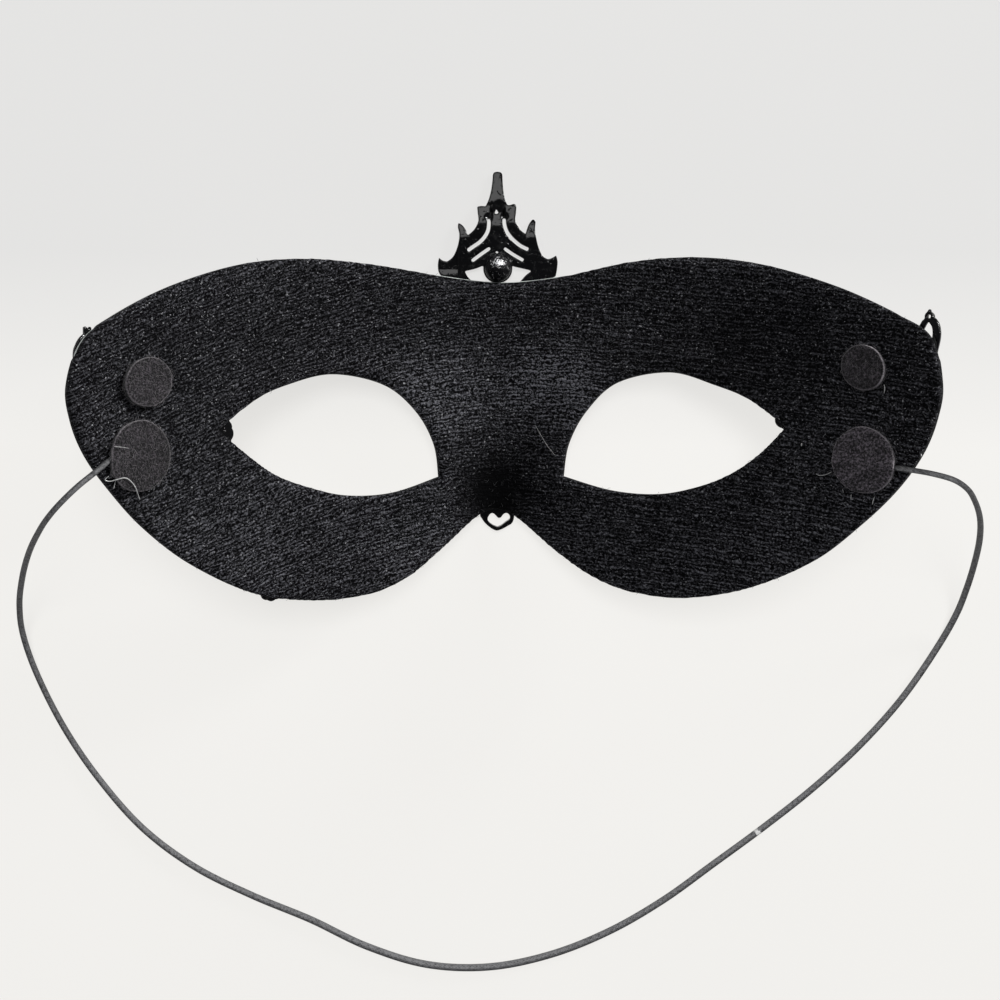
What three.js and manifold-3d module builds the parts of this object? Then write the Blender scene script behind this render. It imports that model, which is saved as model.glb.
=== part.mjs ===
// Half mask for a masquerade, lying face down: a thin moulded shell with a ribbed knit lining,
// black cast filigree on its front, four felt discs and an elastic cord.
// Millimetres, +Z up. +X is to the right and +Y towards the crest, seen from the lined side.
//
// Shell, lining, discs and side castings are drawn flat and then formed round the face.
// In the flat, u runs across the mask, v up it, and w from the shell's front towards the wearer.

import * as THREE from 'three';
import { mergeVertices } from 'three/addons/utils/BufferGeometryUtils.js';
import Module from 'manifold-3d';

// Forming: the bend round the head, and the ridge over the nose below the brow
const WRAP_RADIUS = 108;
const NOSE_RISE = 7;
const NOSE_HALF_WIDTH = 15;
const NOSE_TOP_V = 5;
const NOSE_BLEND = 7;
const CENTRE_X = -0.45;
const CENTRE_Y = -3.5;

// Thicknesses and glue gaps, from the floor up
const CASTING_THICKNESS = 1.6;
const GLUE_GAP = 0.3;
const SHELL_THICKNESS = 0.8;
const LINING_THICKNESS = 0.9;
const DISC_THICKNESS = 1.0;
const SIDE_CASTING_THICKNESS = 1.4;
const SIDE_CASTING_GAP = 0.4;

const SHELL_LIFT = CASTING_THICKNESS + GLUE_GAP;
const LINING_BOTTOM = SHELL_THICKNESS + GLUE_GAP;
const LINING_TOP = LINING_BOTTOM + LINING_THICKNESS;

// The flat sheet that a layer is cut from, and the cells that it is divided into before forming
const SHEET = { width: 184, height: 76, middleV: -5, columns: 30, rows: 11, crownRadius: 1500 };

// Right half of the outline, from the dip over the nose round to the notch under it
const HALF_OUTLINE = [
  [0, 23.8], [13, 25.2], [26, 27.5], [39, 28.5], [51.9, 27.1], [66, 23], [77.9, 17.7], [84.7, 13.4],
  [86.8, 5.4], [85.7, -0.9], [82.9, -7.3], [78, -14.2], [71.5, -21.5], [62.3, -29.4], [50, -36],
  [38, -38.7], [27.5, -38.3], [19.6, -35.8], [12.3, -30.7], [4.7, -24.4], [0, -22.7],
];
const OUTLINE_STEPS_PER_SPAN = 2;

// Right eye hole, between its inner and outer corners
const EYE_INNER = [12.75, -15.4];
const EYE_OUTER = [56.7, -4.4];
const EYE_UPPER = [[13.7, -8.8], [17.1, -2.1], [23.3, 3.5], [33.5, 5.8], [42.4, 3.7], [49.3, 0.9]];
const EYE_LOWER = [[51.1, -9.4], [45.4, -13.5], [38.7, -16.4], [31, -18.2], [22, -18]];
const EYE_UPPER_STEPS = 14;
const EYE_LOWER_STEPS = 12;

// Felt discs: the large ones are glued over the cord's ends, the small ones above them
const FELT_DISCS = [
  { name: 'felt_disc_small_left', u: -71.0, v: 5.1, diameter: 9.1 },
  { name: 'felt_disc_small_right', u: 72.6, v: 7.9, diameter: 8.8 },
  { name: 'felt_disc_large_left', u: -72.9, v: -8.2, diameter: 12.5 },
  { name: 'felt_disc_large_right', u: 72.3, v: -9.3, diameter: 12.6 },
];

// Centre casting, right half: crest above the dip, forehead plate, nose bar and heart loop
const HALF_CREST = [
  [0, 45.8], [0.75, 45.6], [1.0, 45.2], [1.1, 42.5], [1.55, 40.6], [2.35, 39.1], [4.0, 39.25], [3.95, 36],
  [4.3, 34.9], [5.95, 33.3], [7.0, 35], [7.75, 36.1], [8.0, 35.6], [7.8, 32.9], [8.2, 30.9], [9.1, 28.9],
  [10.25, 28.2], [11.95, 28.95], [12.2, 27.4], [11.8, 25.4],
];
const HALF_PLATE = [
  [8.8, 22.9], [6.4, 20.2], [5.0, 16.5], [3.9, 11], [3.0, 4], [2.7, -4], [3.0, -12], [3.6, -18],
  [4.1, -22], [3.8, -24.2], [3.2, -25.7], [1.9, -26.9], [0, -27.6],
];
const HALF_KITE = [[0, 28.6], [3.3, 27.1], [7.0, 26.1], [5.1, 24.2], [0, 19.4]];
const HALF_HEART = [
  [0, -24.75], [0.6, -24.1], [1.4, -23.75], [2.1, -24.15], [2.4, -24.95], [2.0, -25.7], [0.9, -26.4],
  [0, -26.8],
];
const CREST_SLOTS = [
  {
    path: [[1.66, 36.5], [1.76, 35.2], [2.2, 34], [3.03, 32.7], [4.0, 31.6], [4.98, 30.8], [6.15, 30.1]],
    width: 0.82,
  },
  { path: [[1.32, 30.8], [2.93, 29.35], [5.42, 27.9]], width: 0.75 },
];
const ALMOND_OPENINGS = [
  { v: 38, height: 1.5, width: 1.15 },
  { v: 29.95, height: 1.1, width: 1.0 },
  { v: 15.5, height: 6, width: 3.8 },
  { v: 8, height: 6.4, width: 2.4 },
  { v: -0.5, height: 6.5, width: 2.1 },
  { v: -9, height: 6.5, width: 2.2 },
  { v: -17.5, height: 6.5, width: 3 },
];
const FOREHEAD_SCROLL = {
  path: [[3.9, 11.6], [7.2, 12], [9.9, 14.4], [9.8, 17.4], [7.6, 17.9]],
  widths: [1.6, 1.0],
};
const CENTRE_CASTING_SHIFT = -0.5;
const NOSE_LEAF = { path: [[2.4, -9.5], [5.6, -12.4], [7, -17]], width: 2.4 };

// Bead in its cup, over the dip
const BEAD_V = 26.6;
const BEAD_RADIUS = 2.7;
const CUP_RADIUS = 3.05;
const CUP_FLOOR = 0.7;
const BEAD_GAP = 0.1;
const BEAD_FOOT_RADIUS = 2.0;

// Side casting, drawn for the right: bars that taper, leaves and rings. The left one is its mirror
// image, glued a little further in and lower.
const SIDE_BARS = [
  {
    path: [
      [24, 12.6], [21.4, 12.2], [21.2, 9.4], [26, 9.2], [34, 10.9], [43, 9.6], [50.3, 5.2], [56, -2.4],
    ],
    widths: [1.2, 2.7],
  },
  {
    path: [[55.4, -2.2], [59.8, -9], [60.8, -16], [58.8, -23.5], [55, -30], [48.8, -34.9]],
    widths: [2.9, 1.0],
  },
  { path: [[55.7, -3], [61.4, 3.4], [67.8, 9], [75, 12.7], [81.3, 14.3], [84.2, 18]], widths: [2.8, 1.1] },
  {
    path: [
      [84.2, 17], [85.2, 16], [85.6, 14.4], [85.3, 12.4], [83.8, 8.6], [80.2, 0.2], [75, -8], [68.4, -14.8],
      [60, -19.8],
    ],
    widths: [1.1, 1.9],
  },
  { path: [[68, 9.2], [75.2, 9.4], [80.6, 6], [80, 1.6], [76.2, 1.4], [76.2, 4.2]], widths: [1.9, 1.0] },
];
const SIDE_LEAVES = [
  { path: [[27.5, 9.6], [30.2, 13.8], [35.8, 17]], width: 2.9 },
  { path: [[35, 10.8], [38.8, 15.8], [46, 19.3]], width: 3.5 },
  { path: [[43.2, 9.4], [48.6, 14.8], [56.6, 18.6]], width: 4.0 },
  { path: [[50.8, 4.8], [57.6, 10.2], [63.4, 17.2]], width: 4.0 },
  { path: [[61, 1.6], [66.8, 0.8], [72.6, 3.4]], width: 3.8 },
  { path: [[60.2, -8.6], [67.6, -7.6], [74, -2.6]], width: 4.2 },
  { path: [[59.6, -22.4], [52.4, -21.4], [45.4, -25]], width: 3.8 },
  { path: [[56.2, -28.8], [48.4, -28.2], [41, -31.8]], width: 3.6 },
];
const LEAF_ROOT = 0.2;
const SIDE_RINGS = [
  { u: 84.1, v: 17.5, outer: 0.95, inner: 0.4 },
  { u: 24.4, v: 12, outer: 1.3, inner: 0 },
  { u: 70.8, v: 13.0, outer: 1.6, inner: 0 },
  { u: 76.6, v: 3.9, outer: 1.1, inner: 0 },
  { u: 64, v: -15.5, outer: 1.9, inner: 0.9 },
  { u: 48.1, v: -35, outer: 1.1, inner: 0 },
];
const SIDE_CASTINGS = [
  { name: 'side_filigree_right', side: 1, inward: 0, lower: 0 },
  { name: 'side_filigree_left', side: -1, inward: 1.9, lower: 2.4 },
];

// Elastic cord, from the large left disc over the rim, round on the floor, and up to the large
// right disc
const CORD_DIAMETER = 1.4;
const CORD_ROUTE = [
  [-72.2, -11.85, 39.05], [-74, -13.55, 41.6], [-76.7, -15.85, 43.7], [-80, -18.95, 43.4],
  [-83, -21.95, 40.6], [-86.1, -25.35, 35.6], [-90.3, -30.45, 27.2], [-94.4, -36.95, 18],
  [-97.6, -44.25, 9.8], [-98.9, -51.55, 3.9], [-97.4, -60.25, 1.1], [-92, -72.7, 0.85],
  [-84.8, -84.4, 0.85], [-76.2, -95, 0.85], [-65.6, -103.6, 0.85], [-53.7, -110.1, 0.85],
  [-41.2, -115.8, 0.85], [-29.2, -122.1, 0.85], [-16.2, -126.5, 0.85], [-2.7, -127.3, 0.85],
  [10.7, -124.7, 0.85], [23.4, -119.6, 0.85], [35.1, -112.7, 0.85], [46.1, -104.5, 0.85],
  [56.9, -96.3, 0.85], [67.5, -87.6, 0.85], [77.3, -78.2, 0.85], [86.1, -67.8, 0.85],
  [93.4, -56.25, 1.1], [95.9, -48.85, 3.9], [96, -42.25, 8.9], [94.8, -35.55, 15.8],
  [92.7, -29.35, 23.4], [89.9, -24.35, 30.4], [86.5, -20.25, 36.6], [83.1, -17.15, 41.4],
  [79.6, -15.15, 43.9], [76.1, -14.15, 43.6], [73.1, -13.75, 41.1], [70.7, -13.55, 38.7],
];

// Fineness of the facets
const DISC_SIDES = 24;
const BERRY_SIDES = 10;
const BAR_STEPS = 11;
const SCROLL_STEPS = 9;
const LEAF_STEPS = 6;
const BEAD_SIDES = 18;
const BEAD_RINGS = 8;
const CORD_SIDES = 8;
const CORD_STEPS_PER_SPAN = 2;

const LACQUERED_METAL = { color: 0x0b0b0c, roughness: 0.28, metalness: 0.75 };
const SATIN_SHELL = { color: 0xb9c2bc, roughness: 0.5, metalness: 0.0 };
const RIBBED_KNIT = { color: 0x232226, roughness: 0.95, metalness: 0.0 };
const GREY_FELT = { color: 0x45424a, roughness: 1.0, metalness: 0.0 };
const GLASS_BEAD = { color: 0x060607, roughness: 0.12, metalness: 0.0 };
const BLACK_ELASTIC = { color: 0x161618, roughness: 0.7, metalness: 0.0 };

const wasm = await Module();
wasm.setup();

const mask = new THREE.Group();

function add(name, geometry, finish) {
  const mesh = new THREE.Mesh(geometry, new THREE.MeshStandardMaterial(finish));
  mesh.name = name;
  mask.add(mesh);
}

// Solids that are joined and cut

function toManifold(geometry) {
  const bare = geometry.clone();
  bare.deleteAttribute('normal');
  bare.deleteAttribute('uv');
  const merged = mergeVertices(bare, 1e-4);
  return new wasm.Manifold(new wasm.Mesh({
    numProp: 3,
    vertProperties: new Float32Array(merged.attributes.position.array),
    triVerts: new Uint32Array(merged.index.array),
  }));
}

function toGeometry(manifold) {
  const { vertProperties, triVerts } = manifold.getMesh();
  const geometry = new THREE.BufferGeometry();
  geometry.setAttribute('position', new THREE.BufferAttribute(new Float32Array(vertProperties), 3));
  geometry.setIndex(new THREE.BufferAttribute(new Uint32Array(triVerts), 1));
  geometry.computeVertexNormals();
  return geometry;
}

function union(manifolds) {
  return manifolds.reduce((whole, piece) => whole.add(piece));
}

function prism(shape, bottom, top) {
  const geometry = new THREE.ExtrudeGeometry(shape, { depth: top - bottom, bevelEnabled: false });
  geometry.translate(0, 0, bottom);
  return toManifold(geometry);
}

const through = (shape) => prism(shape, -20, 20);

// Flat shapes

const toVectors = (pairs) => pairs.map(([x, y]) => new THREE.Vector2(x, y));
const flipped = (pairs) => pairs.map(([x, y]) => [-x, y]);
const mirrored = (pairs) => flipped(pairs).reverse();
const smooth = (pairs, steps) => new THREE.SplineCurve(toVectors(pairs)).getPoints(steps);

// A closed shape from its right half, which starts and ends on the centre line
function fromHalf(half) {
  return new THREE.Shape(toVectors([...half, ...mirrored(half).slice(1, -1)]).reverse());
}

function disc(x, y, radius, sides) {
  const points = [];
  for (let i = 0; i < sides; i += 1) {
    const angle = (2 * Math.PI * i) / sides;
    points.push(new THREE.Vector2(x + radius * Math.cos(angle), y + radius * Math.sin(angle)));
  }
  return new THREE.Shape(points);
}

const taper = ([from, to]) => (t) => from + (to - from) * t;
const pointed = (width) => (t) => width * Math.sin(Math.PI * t);
const leaf = (width) => (t) => width * Math.sin(Math.PI * (LEAF_ROOT + (1 - LEAF_ROOT) * t));

// A strip along a spline, as wide as widthAt says at each place, pointed where that is nothing
function strip(path, widthAt, steps) {
  const spine = new THREE.SplineCurve(toVectors(path));
  const left = [];
  const right = [];
  for (let i = 0; i <= steps; i += 1) {
    const point = spine.getPoint(i / steps);
    const along = spine.getTangent(i / steps);
    const half = widthAt(i / steps) / 2;
    const aside = new THREE.Vector2(-along.y, along.x).multiplyScalar(half);
    left.push(point.clone().add(aside));
    if (half > 0.01) right.push(point.clone().sub(aside));
  }
  return new THREE.Shape([...right, ...left.reverse()]);
}

function almond({ v, height, width }) {
  return strip([[0, v - height / 2], [0, v + height / 2]], pointed(width), LEAF_STEPS);
}

// Forming

function frontPoint(u, v) {
  const angle = u / (WRAP_RADIUS - LINING_TOP);
  const wrap = WRAP_RADIUS * (1 - Math.cos(angle));
  const belowBrow = 1 / (1 + Math.exp((v - NOSE_TOP_V) / NOSE_BLEND));
  const besideNose = 1 - Math.exp(-((u / NOSE_HALF_WIDTH) ** 2));
  return new THREE.Vector3(
    CENTRE_X + WRAP_RADIUS * Math.sin(angle),
    CENTRE_Y + v,
    SHELL_LIFT + wrap + NOSE_RISE * belowBrow * besideNose,
  );
}

function formedPoint(u, v, w) {
  const step = 0.05;
  const across = frontPoint(u + step, v).sub(frontPoint(u - step, v));
  const up = frontPoint(u, v + step).sub(frontPoint(u, v - step));
  const normal = across.cross(up).normalize();
  return frontPoint(u, v).addScaledVector(normal, w);
}

function formed(geometry) {
  const position = geometry.attributes.position;
  for (let i = 0; i < position.count; i += 1) {
    const point = formedPoint(position.getX(i), position.getY(i), position.getZ(i));
    position.setXYZ(i, point.x, point.y, point.z);
  }
  geometry.computeVertexNormals();
  return geometry;
}

// Shell and lining

function maskShape() {
  const right = HALF_OUTLINE;
  const left = mirrored(HALF_OUTLINE).slice(1, -1);
  const overlap = 2;
  const loop = [...left.slice(-overlap), ...right, ...left, ...right.slice(0, overlap)];
  const curve = new THREE.SplineCurve(toVectors(loop));
  const points = [];
  for (let i = 0; i < (right.length + left.length) * OUTLINE_STEPS_PER_SPAN; i += 1) {
    points.push(curve.getPoint((overlap + i / OUTLINE_STEPS_PER_SPAN) / (loop.length - 1)));
  }
  const shape = new THREE.Shape(points.reverse());
  const upper = smooth([EYE_INNER, ...EYE_UPPER, EYE_OUTER], EYE_UPPER_STEPS).slice(0, -1);
  const lower = smooth([EYE_OUTER, ...EYE_LOWER, EYE_INNER], EYE_LOWER_STEPS).slice(0, -1);
  const eye = [...upper, ...lower];
  for (const side of [1, -1]) {
    shape.holes.push(new THREE.Path(eye.map((point) => new THREE.Vector2(side * point.x, point.y))));
  }
  return shape;
}

// One layer, cut to the outline in the flat and then formed. The sheet is cut with a slight crown,
// because a level one would lose its inner points in the cut, and is levelled before forming.
function layer(bottom, top) {
  const middle = (bottom + top) / 2;
  const { width, height, middleV, columns, rows, crownRadius } = SHEET;
  const crown = (u, v) => (u * u + v * v) / (2 * crownRadius);
  const sheet = new THREE.BoxGeometry(width, height, top - bottom, columns, rows, 1);
  sheet.translate(0, middleV, middle);
  const flat = sheet.attributes.position;
  for (let i = 0; i < flat.count; i += 1) {
    flat.setZ(i, flat.getZ(i) + crown(flat.getX(i), flat.getY(i)));
  }
  const cut = toGeometry(toManifold(sheet).intersect(through(maskShape())));
  const points = cut.attributes.position;
  for (let i = 0; i < points.count; i += 1) {
    const level = points.getZ(i) - crown(points.getX(i), points.getY(i));
    points.setZ(i, level > middle ? top : bottom);
  }
  return formed(cut);
}

add('mask_shell', layer(0, SHELL_THICKNESS), SATIN_SHELL);
add('lining', layer(LINING_BOTTOM, LINING_TOP), RIBBED_KNIT);

// Felt discs, formed with the lining that they are glued to

for (const { name, u, v, diameter } of FELT_DISCS) {
  const bottom = LINING_TOP + GLUE_GAP;
  const felt = prism(disc(u, v, diameter / 2, DISC_SIDES), bottom, bottom + DISC_THICKNESS);
  add(name, formed(toGeometry(felt)), GREY_FELT);
}

// Centre casting, flat, with a cup for the bead

function centreCasting() {
  const solid = (shape) => prism(shape, 0, CASTING_THICKNESS);
  const onBothSides = (path, shapeOf) => [path, flipped(path)].map(shapeOf);
  const scroll = (path) => strip(path, taper(FOREHEAD_SCROLL.widths), SCROLL_STEPS);
  const noseLeaf = (path) => strip(path, leaf(NOSE_LEAF.width), LEAF_STEPS);
  const slots = CREST_SLOTS.flatMap(({ path, width }) => (
    onBothSides(path, (side) => strip(side, () => width, LEAF_STEPS))
  ));
  const solids = [
    fromHalf([...HALF_CREST, ...HALF_PLATE]),
    ...onBothSides(FOREHEAD_SCROLL.path, scroll),
    ...onBothSides(NOSE_LEAF.path, noseLeaf),
  ];
  const openings = [fromHalf(HALF_KITE), fromHalf(HALF_HEART), ...ALMOND_OPENINGS.map(almond), ...slots];
  const cup = solid(disc(0, BEAD_V, CUP_RADIUS, DISC_SIDES));
  const seatShape = disc(0, BEAD_V, BEAD_RADIUS + BEAD_GAP, DISC_SIDES);
  return union(solids.map(solid))
    .subtract(union(openings.map(through)))
    .add(cup)
    .subtract(prism(seatShape, CUP_FLOOR, CASTING_THICKNESS + 1));
}

const centre = toGeometry(centreCasting());
centre.translate(CENTRE_X + CENTRE_CASTING_SHIFT, CENTRE_Y, 0);
add('centre_filigree', centre, LACQUERED_METAL);

// Bead: a ball with a flat foot, which sits on the floor of the cup

function bead() {
  const footAngle = Math.asin(BEAD_FOOT_RADIUS / BEAD_RADIUS);
  const footDrop = BEAD_RADIUS * Math.cos(footAngle);
  const profile = [new THREE.Vector2(0, -footDrop)];
  for (let i = 0; i < BEAD_RINGS; i += 1) {
    const angle = footAngle + ((Math.PI - footAngle) * i) / BEAD_RINGS;
    profile.push(new THREE.Vector2(BEAD_RADIUS * Math.sin(angle), -BEAD_RADIUS * Math.cos(angle)));
  }
  profile.push(new THREE.Vector2(0, BEAD_RADIUS));
  const ball = new THREE.LatheGeometry(profile, BEAD_SIDES);
  ball.rotateX(Math.PI / 2);
  ball.translate(CENTRE_X + CENTRE_CASTING_SHIFT, CENTRE_Y + BEAD_V, CUP_FLOOR + GLUE_GAP + footDrop);
  return ball;
}

add('crest_bead', bead(), GLASS_BEAD);

// Side castings, formed with the shell that they are glued to

function sideCasting({ side, inward, lower }) {
  const top = -SIDE_CASTING_GAP;
  const place = ([u, v]) => [side * (u - inward), v - lower];
  const solid = (shape) => prism(shape, top - SIDE_CASTING_THICKNESS, top);
  const round = ({ u, v }, radius) => disc(...place([u, v]), radius, BERRY_SIDES);
  const pieces = [
    ...SIDE_BARS.map(({ path, widths }) => strip(path.map(place), taper(widths), BAR_STEPS)),
    ...SIDE_LEAVES.map(({ path, width }) => strip(path.map(place), leaf(width), LEAF_STEPS)),
    ...SIDE_RINGS.map((ring) => round(ring, ring.outer)),
  ];
  const holes = SIDE_RINGS.filter(({ inner }) => inner > 0).map((ring) => round(ring, ring.inner));
  return formed(toGeometry(union(pieces.map(solid)).subtract(union(holes.map(through)))));
}

for (const casting of SIDE_CASTINGS) {
  add(casting.name, sideCasting(casting), LACQUERED_METAL);
}

// Elastic cord, stepped evenly between the points of its route, which lie closer at the bends

function cord() {
  const route = new THREE.CatmullRomCurve3(CORD_ROUTE.map((point) => new THREE.Vector3(...point)));
  route.getUtoTmapping = (along) => along;
  return new THREE.ExtrudeGeometry(disc(0, 0, CORD_DIAMETER / 2, CORD_SIDES), {
    steps: (CORD_ROUTE.length - 1) * CORD_STEPS_PER_SPAN,
    extrudePath: route,
    bevelEnabled: false,
  });
}

add('elastic_cord', cord(), BLACK_ELASTIC);

export default mask;
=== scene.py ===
import math

import bmesh
import bpy
import numpy as np
from mathutils import Matrix, Vector
from mathutils.geometry import delaunay_2d_cdt


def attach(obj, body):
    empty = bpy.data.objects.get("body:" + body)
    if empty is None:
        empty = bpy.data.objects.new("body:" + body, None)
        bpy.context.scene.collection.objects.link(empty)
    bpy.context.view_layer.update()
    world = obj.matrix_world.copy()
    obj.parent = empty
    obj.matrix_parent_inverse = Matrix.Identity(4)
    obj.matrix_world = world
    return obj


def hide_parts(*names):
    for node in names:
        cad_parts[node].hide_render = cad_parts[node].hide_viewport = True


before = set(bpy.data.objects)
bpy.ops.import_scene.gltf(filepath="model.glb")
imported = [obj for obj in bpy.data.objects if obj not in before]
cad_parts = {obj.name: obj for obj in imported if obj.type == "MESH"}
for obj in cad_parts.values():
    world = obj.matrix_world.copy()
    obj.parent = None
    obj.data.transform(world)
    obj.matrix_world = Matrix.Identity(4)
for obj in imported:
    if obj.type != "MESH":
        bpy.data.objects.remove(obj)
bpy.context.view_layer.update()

# Shell
# The body of the mask: one thin plastic moulding with two eye holes, bent round the face and
# raised over the nose. Its satin grey-green paint shows on the front and along the bare edge.

# Sizes are in millimetres. A place on the mask is (u, v) in its flat pattern, across and up.
MM = 0.001
MIDDLE_X = -0.45
MIDDLE_Y = -3.5
WRAP_RADIUS = 108
FORMED_RADIUS = 106
SHELL_LIFT = 1.9
NOSE_RISE = 7
NOSE_HALF_WIDTH = 15
BROW_LINE = 5
BROW_FADE = 7
SHELL_THICKNESS = 0.8

# The edge from the upper face round to the lower one: how far in it is, and how high.
SHELL_RIM = [(0.15, 0.8), (0.04, 0.75), (0, 0.64), (0, 0.2), (0.06, 0.06), (0.2, 0)]
WRAPPED_INSET = 0.42

# The lining leaves the edge bare behind the crest, and partly bare at two worn spots, each given
# as its middle, radius, fade and the share that is still wrapped.
BARE_HALF_WIDTH = 13
BARE_FADE = 3
WORN_SPOTS = [(-83.7, 13, 2.4, 1.5, 0.3), (83.5, 14.5, 4, 2, 0.65)]
OUTLINE_GAP = 0.45
EYE_GAP = 0.4
SPLINE_STEPS = 24
FEW_POINTS = 1500

OUTLINE = [
    (0, 23.8), (13, 25.1), (26, 27.8), (39, 28.7), (51.9, 27.2), (66.1, 23.1), (78, 18), (85.1, 13.7),
    (86.9, 5.4), (85.7, -0.9), (82.9, -7.4), (78.1, -14.3), (71.4, -21.4), (62.2, -29.4), (50, -35.7),
    (38, -38.7), (27.4, -38.4), (19.4, -35.9), (12, -31.1), (4.4, -24.9), (0, -22.7), (-5, -23.9),
    (-12.6, -30.2), (-19.7, -35.6), (-27.4, -38.3), (-38, -38.7), (-50.1, -36.2), (-62.3, -29.4),
    (-71.5, -21.6), (-78, -14.1), (-82.9, -7.3), (-85.7, -0.9), (-86.6, 5.3), (-83.9, 12.9),
    (-77.7, 17.3), (-66, 22.8), (-51.9, 27), (-39, 28.2), (-26, 27.2), (-13, 25.2),
]
EYE_RIGHT = [
    [(12.7, -15.4), (13.7, -8.8), (17.1, -2.1), (23.2, 3.7), (33.5, 5.9), (42.3, 3.6),
     (49.2, 0.9)],
    [(56.4, -4.1), (51.2, -9.4), (45.4, -13.6), (38.7, -16.5), (31, -18.2), (22, -17.8)],
]
EYE_LEFT = [
    [(12.7, -15.4), (13.6, -8.8), (17.1, -2.1), (23.4, 3.3), (33.5, 5.6), (42.4, 3.8),
     (49.3, 0.9)],
    [(56.6, -4.4), (51, -9.2), (45.3, -13.4), (38.6, -16.2), (31, -18.2), (22, -18.1)],
]


def front(u, v):
    """The front face of the shell over a place (u, v) in its flat pattern, in millimetres."""
    angle = u / FORMED_RADIUS
    below_brow = 1 / (1 + np.exp((v - BROW_LINE) / BROW_FADE))
    beside_nose = 1 - np.exp(-((u / NOSE_HALF_WIDTH) ** 2))
    depth = SHELL_LIFT + WRAP_RADIUS * (1 - np.cos(angle)) + NOSE_RISE * below_brow * beside_nose
    return np.stack([MIDDLE_X + WRAP_RADIUS * np.sin(angle), MIDDLE_Y + v, depth], axis=-1)


def unit(vectors):
    return vectors / np.linalg.norm(vectors, axis=-1, keepdims=True)


def formed(flat):
    """Points of a flat pattern, each with its height w above the shell's front, bent to shape."""
    u, v, w = np.asarray(flat, float).T
    step = 0.05
    across = front(u + step, v) - front(u - step, v)
    upward = front(u, v + step) - front(u, v - step)
    return front(u, v) + w[:, None] * unit(np.cross(across, upward))


def spline(points, gap, closed=False, power=0.0):
    """Evenly spaced points on a curve through the given ones, in two or three dimensions.

    A power above nought gives a longer span between two points more room to bend.
    """
    knots = np.array(points, float)
    if closed:
        knots = np.vstack([knots[-1:], knots, knots[:2]])
    elif power:
        knots = np.vstack([2 * knots[:1] - knots[1:2], knots, 2 * knots[-1:] - knots[-2:-1]])
    else:
        knots = np.vstack([knots[:1], knots, knots[-1:]])
    spans = np.linalg.norm(np.diff(knots, axis=0), axis=1)
    spans = np.where(spans > 0, spans, 1) ** power
    t = np.linspace(0, 1, SPLINE_STEPS, endpoint=False)[:, None]
    fine = []
    for i in range(1, len(knots) - 2):
        a, b, c, d = knots[i - 1:i + 3]
        before, span, after = spans[i - 1:i + 2]
        leave = span * ((b - a) / before - (c - a) / (before + span) + (c - b) / span)
        arrive = span * ((c - b) / span - (d - b) / (span + after) + (d - c) / after)
        fine.append(
            b + t * leave + t ** 2 * (3 * (c - b) - 2 * leave - arrive)
            + t ** 3 * (leave + arrive - 2 * (c - b))
        )
    fine = np.vstack([*fine, knots[-2:-1]])
    lengths = np.r_[0, np.cumsum(np.linalg.norm(np.diff(fine, axis=0), axis=1))]
    places = np.linspace(0, lengths[-1], max(2, round(lengths[-1] / gap)) + 1)
    even = np.stack([np.interp(places, lengths, axis) for axis in fine.T], axis=1)
    return even[:-1] if closed else even


def outward(loop):
    """Unit directions out of the material along a loop that has it on its left."""
    along = unit(np.roll(loop, -1, axis=0) - np.roll(loop, 1, axis=0))
    return np.stack([along[:, 1], -along[:, 0]], axis=1)


def inside(points, loop):
    """Which points lie inside a closed loop."""
    found = np.zeros(len(points), bool)
    near = np.all((points >= loop.min(0)) & (points <= loop.max(0)), axis=1)
    x, y = points[near].T[:, :, None]
    (x0, y0), (x1, y1) = loop.T, np.roll(loop, -1, axis=0).T
    crosses = (y0 > y) != (y1 > y)
    with np.errstate(divide="ignore", invalid="ignore"):
        left = x < (x1 - x0) * (y - y0) / (y1 - y0) + x0
    found[near] = (crosses & left).sum(axis=1) % 2 == 1
    return found


def filled(loops, extra):
    """Triangles over the sheet between an outer loop and its holes, through extra points."""
    points = np.vstack([*loops, extra])
    edges, start = [], 0
    for loop in loops:
        index = np.arange(len(loop))
        edges += np.stack([start + index, start + np.roll(index, -1)], axis=1).tolist()
        start += len(loop)
    _, _, faces, *_ = delaunay_2d_cdt([Vector(p) for p in points], edges, [], 1, 1e-6)
    faces = np.array(faces)
    middles = points[faces].mean(axis=1)
    in_hole = np.any([inside(middles, hole) for hole in loops[1:]] or [[False]], axis=0)
    return faces[inside(middles, loops[0]) & ~in_hole]


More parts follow.
